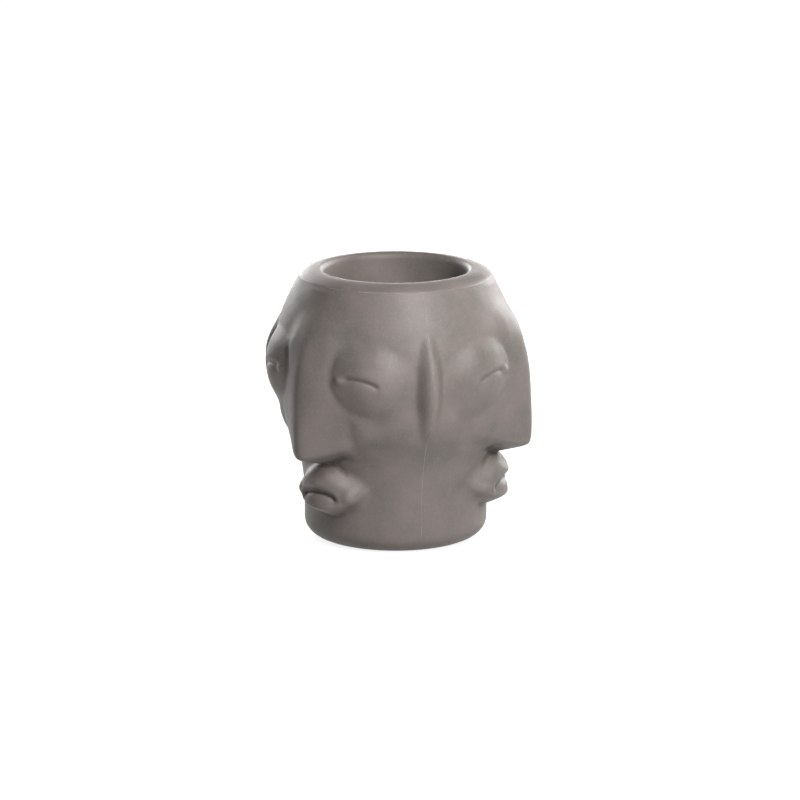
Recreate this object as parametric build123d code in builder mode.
from build123d import *
import os
from math import cos, radians, sin

os.makedirs("parts", exist_ok=True)

# Overall sizes of the pot, in millimetres
height = 130.0
temple_radius = 58.3
wall = 3.6
face_count = 3
face_turn = 360.0 / face_count

# Barrel between the faces: how far each place lies inside the temples, from the foot to the mould line
base_inset = 14.3
base_edge_radius = 8.0
jaw_inset = 12.9
cheek_inset = 2.8
forehead_inset = 4.2
seam_inset = 12.3
neck_share = 0.09
jaw_share = 0.277
cheek_share = 0.485
temple_share = 0.677
forehead_share = 0.846
seam_drop = 3.2
seam_lean_share = 0.5
base_radius = temple_radius - base_inset
jaw_radius = temple_radius - jaw_inset
cheek_radius = temple_radius - cheek_inset
forehead_radius = temple_radius - forehead_inset
seam_radius = temple_radius - seam_inset
neck_height = height * neck_share
jaw_height = height * jaw_share
cheek_height = height * cheek_share
temple_height = height * temple_share
forehead_height = height * forehead_share
seam_height = height - seam_drop

# Rim and planting well
shoulder_width = 5.4
rim_flat = 3.0
lip_radius = 2.6
well_taper = 4.0
floor_height = 16.0
floor_corner_radius = 5.0
crown_radius = seam_radius - shoulder_width
opening_radius = crown_radius - rim_flat - lip_radius
floor_radius = opening_radius - well_taper

# Underside: a shallow recess leaves a foot ring; a post holds the drain hole, with a vent hole beside it
foot_width = 2.4
recess_depth = 2.6
drain_radius = 5.0
post_wall = 6.5
vent_radius = 3.0
recess_radius = base_radius - base_edge_radius - foot_width - recess_depth
post_radius = drain_radius + post_wall
vent_offset = (post_radius + recess_radius) / 2

# Nose: sections from its foot up to the forehead, each with its stand past the temples, half its width
# and how far its back lies inside the temples
nose_round_share = -0.25
nose_foot_share = 0.262
nose_foot_stand = 8.7
nose_foot_half = 26.5
nose_foot_inset = 15.3
nose_tip_share = 0.423
nose_tip_stand = 8.9
nose_tip_half = 28.2
nose_tip_inset = 12.3
bridge_share = 0.662
bridge_stand = 7.1
bridge_half = 27.3
bridge_inset = 7.3
frown_share = 0.8
frown_stand = 1.4
frown_half = 25.3
frown_inset = 8.3
nose_top_share = 0.892
nose_top_stand = -8.8
nose_top_half = 26.0
nose_top_inset = 16.0
nose_under_share = 0.306
nose_under_angle = 18.0
nose_wing_rise = 14.0
nose_under_edge = 2.4
core_side_share = 1.4

# Eyes: round balls that stand a little out of the temples, each with a closed lid line
eye_ball_share = 0.42
eye_stand = 5.2
eye_share = 0.669
eye_angle = 32.0
lid_inner = 12.0
lid_outer = 8.5
lid_rise = 2.4
lid_drop = 2.0
lid_gap = 1.4
lid_depth = 1.6
eye_blend = 2.5
eye_ball_radius = temple_radius * eye_ball_share
eye_reach = temple_radius + eye_stand
eye_height = height * eye_share

# Mouth: round in plan, with a sloping shelf under the chin, a full lower lip and a pointed upper lip
mouth_ball_share = 0.37
mouth_stand = 11.6
chin_foot_share = 0.088
chin_share = 0.162
chin_edge_radius = 3.4
lip_peak_share = 0.264
lip_peak_inset = 0.5
lip_peak_radius = 1.2
mouth_top_share = 0.59
jowl_half = 26.0
jowl_share = 0.24
jowl_foot_share = 0.125
corner_ball_radius = 7.0
corner_ball_angle = 20.0
corner_ball_stand = 8.0
corner_ball_share = 0.218
lips_share = 0.226
lips_half = 12.8
lips_drop = 2.9
lips_gap = 1.5
lips_depth = 1.4
mouth_ball_radius = temple_radius * mouth_ball_share
mouth_reach = base_radius + mouth_stand
mouth_centre = mouth_reach - mouth_ball_radius
corner_ball_centre = base_radius + corner_ball_stand - corner_ball_radius

# Ear ridges between the faces
ear_disc_share = 0.43
ear_half_width = 7.4
ear_stand = 7.0
ear_share = 0.642
ear_blend = 2.0
ear_disc_radius = temple_radius * ear_disc_share
ear_centre = temple_radius + ear_stand - ear_disc_radius
ear_height = height * ear_share

# Plugs
plug_gap = 0.05
plug_head_width = 4.0
plug_head_thickness = 1.7
plug_skin = 3.0
plug_nose_chamfer = 0.8
vent_head_width = 2.2
vent_head_thickness = 1.5
vent_bead = 0.5
vent_bead_length = 1.6
plug_edge_round = 0.5

# Upright plane through the axis and one ear ridge
side_bearing = radians(face_turn / 2 - 90)
side_plane = Plane(
    origin=(0, 0, 0),
    x_dir=(cos(side_bearing), sin(side_bearing), 0),
    z_dir=(sin(side_bearing), -cos(side_bearing), 0),
)

# Upright half outline of the filled pot, from the underside round the barrel to the crown of the rim
with BuildSketch(side_plane) as barrel_outline:
    with BuildLine():
        Line((0, recess_depth), (recess_radius, recess_depth))
        Line((recess_radius, recess_depth), (recess_radius + recess_depth, 0))
        Line((recess_radius + recess_depth, 0), (base_radius - base_edge_radius, 0))
        RadiusArc((base_radius - base_edge_radius, 0), (base_radius, base_edge_radius), -base_edge_radius)
        Line((base_radius, base_edge_radius), (base_radius, neck_height))
        Spline(
            (base_radius, neck_height),
            (jaw_radius, jaw_height),
            (cheek_radius, cheek_height),
            (temple_radius, temple_height),
            (forehead_radius, forehead_height),
            (seam_radius, seam_height),
            tangents=((0, 1), (-seam_lean_share, 1)),
        )
        crown_middle = ((seam_radius + crown_radius) / 2, height - (height - seam_height) / 4)
        ThreePointArc((seam_radius, seam_height), crown_middle, (crown_radius, height))
        Line((crown_radius, height), (0, height))
        Line((0, height), (0, recess_depth))
    make_face()

# Half outline of the planting well, flared over the rounded lip
with BuildSketch(side_plane) as well_outline:
    with BuildLine():
        lip_height = height - lip_radius
        Line((0, floor_height), (floor_radius - floor_corner_radius, floor_height))
        corner_end = (floor_radius, floor_height + floor_corner_radius)
        RadiusArc((floor_radius - floor_corner_radius, floor_height), corner_end, -floor_corner_radius)
        Line(corner_end, (opening_radius, lip_height))
        RadiusArc((opening_radius, lip_height), (opening_radius + lip_radius, height), lip_radius)
        Line((opening_radius + lip_radius, height), (opening_radius + lip_radius, height + lip_radius))
        Line((opening_radius + lip_radius, height + lip_radius), (0, height + lip_radius))
        Line((0, height + lip_radius), (0, floor_height))
    make_face()

# Nose of the face that looks along -Y: pointed sections with a rounded ridge, lofted up into the forehead
nose_sections = (
    (nose_foot_share, nose_foot_stand, nose_foot_half, nose_foot_inset),
    (nose_tip_share, nose_tip_stand, nose_tip_half, nose_tip_inset),
    (bridge_share, bridge_stand, bridge_half, bridge_inset),
    (frown_share, frown_stand, frown_half, frown_inset),
    (nose_top_share, nose_top_stand, nose_top_half, nose_top_inset),
)
nose_under_height = height * nose_under_share
under_plane = Plane(
    origin=(0, -base_radius, nose_under_height),
    x_dir=(1, 0, 0),
    z_dir=(0, -cos(radians(nose_under_angle)), sin(radians(nose_under_angle))),
)
with BuildPart() as nose:
    for level_share, stand, half, inset in nose_sections:
        back = temple_radius - inset
        pull = (4 * (temple_radius + stand) - back) / 3
        with BuildSketch(Plane.XY.offset(height * level_share)):
            with BuildLine():
                Bezier(
                    (-half, -back),
                    (-half * nose_round_share, -pull),
                    (half * nose_round_share, -pull),
                    (half, -back),
                )
                Line((half, -back), (-half, -back))
            make_face()
    loft()
    with BuildSketch(under_plane):
        with BuildLine():
            ThreePointArc((-nose_tip_half, nose_wing_rise), (0, 0), (nose_tip_half, nose_wing_rise))
            Polyline(
                (nose_tip_half, nose_wing_rise),
                (nose_tip_half, -nose_under_height),
                (-nose_tip_half, -nose_under_height),
                (-nose_tip_half, nose_wing_rise),
            )
        make_face()
    extrude(amount=temple_radius, both=True, mode=Mode.SUBTRACT)
    under_face = nose.faces().sort_by(Axis.Z)[0]
    fillet(under_face.edges().sort_by(Axis.Y)[0], nose_under_edge)

# Hollow behind the nose: the same sections and arched underside, set in by the wall
with BuildPart() as nose_core:
    for level_share, stand, half, inset in nose_sections:
        back = base_radius - wall
        core_pull = (4 * (temple_radius + stand - wall) - back) / 3
        core_half = half - wall * core_side_share
        with BuildSketch(Plane.XY.offset(height * level_share)):
            with BuildLine():
                Bezier(
                    (-core_half, -back),
                    (-core_half * nose_round_share, -core_pull),
                    (core_half * nose_round_share, -core_pull),
                    (core_half, -back),
                )
                Line((core_half, -back), (-core_half, -back))
            make_face()
    loft()
    with BuildSketch(under_plane):
        with BuildLine():
            core_rise = nose_wing_rise + wall
            ThreePointArc((-nose_tip_half, core_rise), (0, wall), (nose_tip_half, core_rise))
            Polyline(
                (nose_tip_half, core_rise),
                (nose_tip_half, -nose_under_height),
                (-nose_tip_half, -nose_under_height),
                (-nose_tip_half, core_rise),
            )
        make_face()
    extrude(amount=temple_radius, both=True, mode=Mode.SUBTRACT)

# Eyes of the same face
eye_plane = Plane(
    origin=(eye_reach * sin(radians(eye_angle)), -eye_reach * cos(radians(eye_angle)), eye_height),
    x_dir=(cos(radians(eye_angle)), sin(radians(eye_angle)), 0),
    z_dir=(sin(radians(eye_angle)), -cos(radians(eye_angle)), 0),
)
with BuildPart() as eyes:
    with Locations(eye_plane.offset(-eye_ball_radius).location):
        Sphere(eye_ball_radius)
    mirror(about=Plane.YZ)

# Closed lids: a thin crescent with its ends down, pressed into each eye
with BuildPart() as lid_lines:
    with BuildSketch(eye_plane.offset(-lid_depth)):
        with BuildLine():
            ThreePointArc((-lid_inner, 0), (-lid_drop, lid_rise), (lid_outer, -lid_drop))
            ThreePointArc((lid_outer, -lid_drop), (-lid_drop, lid_rise - lid_gap), (-lid_inner, 0))
        make_face()
    extrude(amount=lid_depth + eye_reach)
    mirror(about=Plane.YZ)

# Mouth: its upright half outline turned about an upright line inside the pot, its underside swept up at the
# sides, with a ball at each corner
with BuildPart() as mouth:
    mouth_plane = Plane(origin=(0, -mouth_centre, 0), x_dir=(1, 0, 0), z_dir=(0, -1, 0))
    with BuildSketch(mouth_plane) as mouth_outline:
        with BuildLine():
            Polyline(
                (0, height * chin_foot_share),
                (mouth_ball_radius, height * chin_share),
                (mouth_ball_radius - lip_peak_inset, height * lip_peak_share),
                (0, height * mouth_top_share),
                close=True,
            )
        make_face()
        chin_edge, lip_peak = mouth_outline.vertices().sort_by(Axis.X)[-2:].sort_by(Axis.Z)
        fillet(chin_edge, chin_edge_radius)
        fillet(lip_peak, lip_peak_radius)
    revolve(axis=Axis((0, -mouth_centre, 0), (0, 0, 1)))
    with BuildSketch(Plane.XZ):
        with BuildLine():
            jowl_height = height * jowl_share
            jowl_foot = (0, height * jowl_foot_share)
            ThreePointArc((-jowl_half, jowl_height), jowl_foot, (jowl_half, jowl_height))
            Polyline(
                (jowl_half, jowl_height),
                (jowl_half, height),
                (-jowl_half, height),
                (-jowl_half, jowl_height),
            )
        make_face()
    extrude(amount=height, mode=Mode.INTERSECT)
    ball_x = corner_ball_centre * sin(radians(corner_ball_angle))
    ball_y = corner_ball_centre * cos(radians(corner_ball_angle))
    ball_z = height * corner_ball_share
    with Locations((ball_x, -ball_y, ball_z), (-ball_x, -ball_y, ball_z)):
        Sphere(corner_ball_radius)

# Line between the lips, its ends drooping
with BuildPart() as lip_line:
    lip_plane = Plane(origin=(0, 0, height * lips_share), x_dir=(1, 0, 0), z_dir=(0, -1, 0))
    with BuildSketch(lip_plane.offset(mouth_reach - lips_depth)):
        with BuildLine():
            ThreePointArc((-lips_half, -lips_drop), (0, lips_gap / 2), (lips_half, -lips_drop))
            ThreePointArc((lips_half, -lips_drop), (0, -lips_gap / 2), (-lips_half, -lips_drop))
        make_face()
    extrude(amount=mouth_reach)

# Ear ridge: a thin round lens standing upright between two faces
with BuildPart() as ear:
    with BuildSketch(Plane(origin=(0, -ear_centre, ear_height), x_dir=(1, 0, 0), z_dir=(0, 0, 1))):
        with BuildLine():
            EllipticalCenterArc((0, 0), ear_half_width, ear_disc_radius, start_angle=0, arc_size=180)
            Line((-ear_half_width, 0), (ear_half_width, 0))
        make_face()
    revolve(axis=Axis((0, -ear_centre, ear_height), (1, 0, 0)))

# Half outline of the hollow between the walls, open to the vent hole in the base
with BuildSketch(side_plane) as hollow_outline:
    with BuildLine():
        hollow_bottom = recess_depth + wall
        hollow_top = seam_height - wall
        Polyline(
            (post_radius, hollow_bottom),
            (base_radius - wall, hollow_bottom),
            (base_radius - wall, neck_height),
        )
        Spline(
            (base_radius - wall, neck_height),
            (jaw_radius - wall, jaw_height),
            (cheek_radius - wall, cheek_height),
            (temple_radius - wall, temple_height),
            (forehead_radius - wall, forehead_height),
            (seam_radius - wall, hollow_top),
            tangents=((0, 1), (-seam_lean_share, 1)),
        )
        Polyline(
            (seam_radius - wall, hollow_top),
            (opening_radius + wall, hollow_top),
            (floor_radius + wall, floor_height + floor_corner_radius),
            (floor_radius - floor_corner_radius, floor_height - wall),
            (post_radius, floor_height - wall),
            (post_radius, hollow_bottom),
        )
    make_face()

# The moulding: barrel with three faces, then the well, the hollow in the wall and the holes of the underside
with BuildPart() as head_shell:
    add(barrel_outline.sketch)
    revolve(axis=Axis.Z)
    with PolarLocations(0, face_count):
        add(eyes.part)
    fillet(head_shell.edges(Select.NEW), eye_blend)
    with PolarLocations(0, face_count, start_angle=face_turn / 2):
        add(ear.part)
    fillet(head_shell.edges(Select.NEW), ear_blend)
    with PolarLocations(0, face_count):
        add(mouth.part)
        add(nose.part)
    with PolarLocations(0, face_count):
        add(lid_lines.part, mode=Mode.SUBTRACT)
        add(lip_line.part, mode=Mode.SUBTRACT)
    add(well_outline.sketch)
    revolve(axis=Axis.Z, mode=Mode.SUBTRACT)
    add(hollow_outline.sketch)
    revolve(axis=Axis.Z, mode=Mode.SUBTRACT)
    with PolarLocations(0, face_count):
        add(nose_core.part, mode=Mode.SUBTRACT)
    with BuildSketch(Plane.XY):
        Circle(drain_radius)
    extrude(amount=height, mode=Mode.SUBTRACT)
    with BuildSketch(Plane.XY):
        with Locations((0, vent_offset)):
            Circle(vent_radius)
    extrude(amount=recess_depth + wall + wall / 2, mode=Mode.SUBTRACT)
head_shell.part.label = "head_shell"
export_step(head_shell.part, "parts/head_shell.step")

# Drain bung: a wide head under the recess and a hollow stem that fills the hole up to the floor of the well
with BuildPart() as drain_plug:
    stem_radius = drain_radius - plug_gap
    plug_bore_radius = drain_radius / 2
    plug_head_radius = drain_radius + plug_head_width
    stem_top = floor_height
    head_bottom = recess_depth - plug_head_thickness
    with BuildSketch(Plane.XZ):
        with BuildLine():
            Polyline(
                (0, stem_top - plug_skin),
                (plug_bore_radius, stem_top - plug_skin),
                (plug_bore_radius, head_bottom),
                (plug_head_radius, head_bottom),
                (plug_head_radius, recess_depth),
                (stem_radius, recess_depth),
                (stem_radius, stem_top - plug_nose_chamfer),
                (stem_radius - plug_nose_chamfer, stem_top),
                (0, stem_top),
                close=True,
            )
        make_face()
    revolve(axis=Axis.Z)
    fillet(drain_plug.edges().filter_by(GeomType.CIRCLE).sort_by(Axis.Z)[:2], plug_edge_round)
drain_plug.part.label = "drain_plug"
export_step(drain_plug.part, "parts/drain_plug.step")

# Vent stopper: a flat head in the recess and a short stem with a bead that snaps behind the base wall
with BuildPart() as vent_plug:
    vent_stem_radius = vent_radius - plug_gap
    vent_head_radius = vent_radius + vent_head_width
    vent_bead_radius = vent_radius + vent_bead
    vent_wall_top = recess_depth + wall
    vent_head_bottom = recess_depth - vent_head_thickness
    vent_plane = Plane(origin=(0, vent_offset, 0), x_dir=(1, 0, 0), z_dir=(0, -1, 0))
    with BuildSketch(vent_plane):
        with BuildLine():
            Polyline(
                (0, vent_head_bottom),
                (vent_head_radius, vent_head_bottom),
                (vent_head_radius, recess_depth),
                (vent_stem_radius, recess_depth),
                (vent_stem_radius, vent_wall_top),
                (vent_bead_radius, vent_wall_top),
                (vent_stem_radius, vent_wall_top + vent_bead_length),
                (0, vent_wall_top + vent_bead_length),
                close=True,
            )
        make_face()
    revolve(axis=Axis((0, vent_offset, 0), (0, 0, 1)))
    fillet(vent_plug.edges().filter_by(GeomType.CIRCLE).sort_by(Axis.Z)[:1], plug_edge_round)
vent_plug.part.label = "vent_plug"
export_step(vent_plug.part, "parts/vent_plug.step")
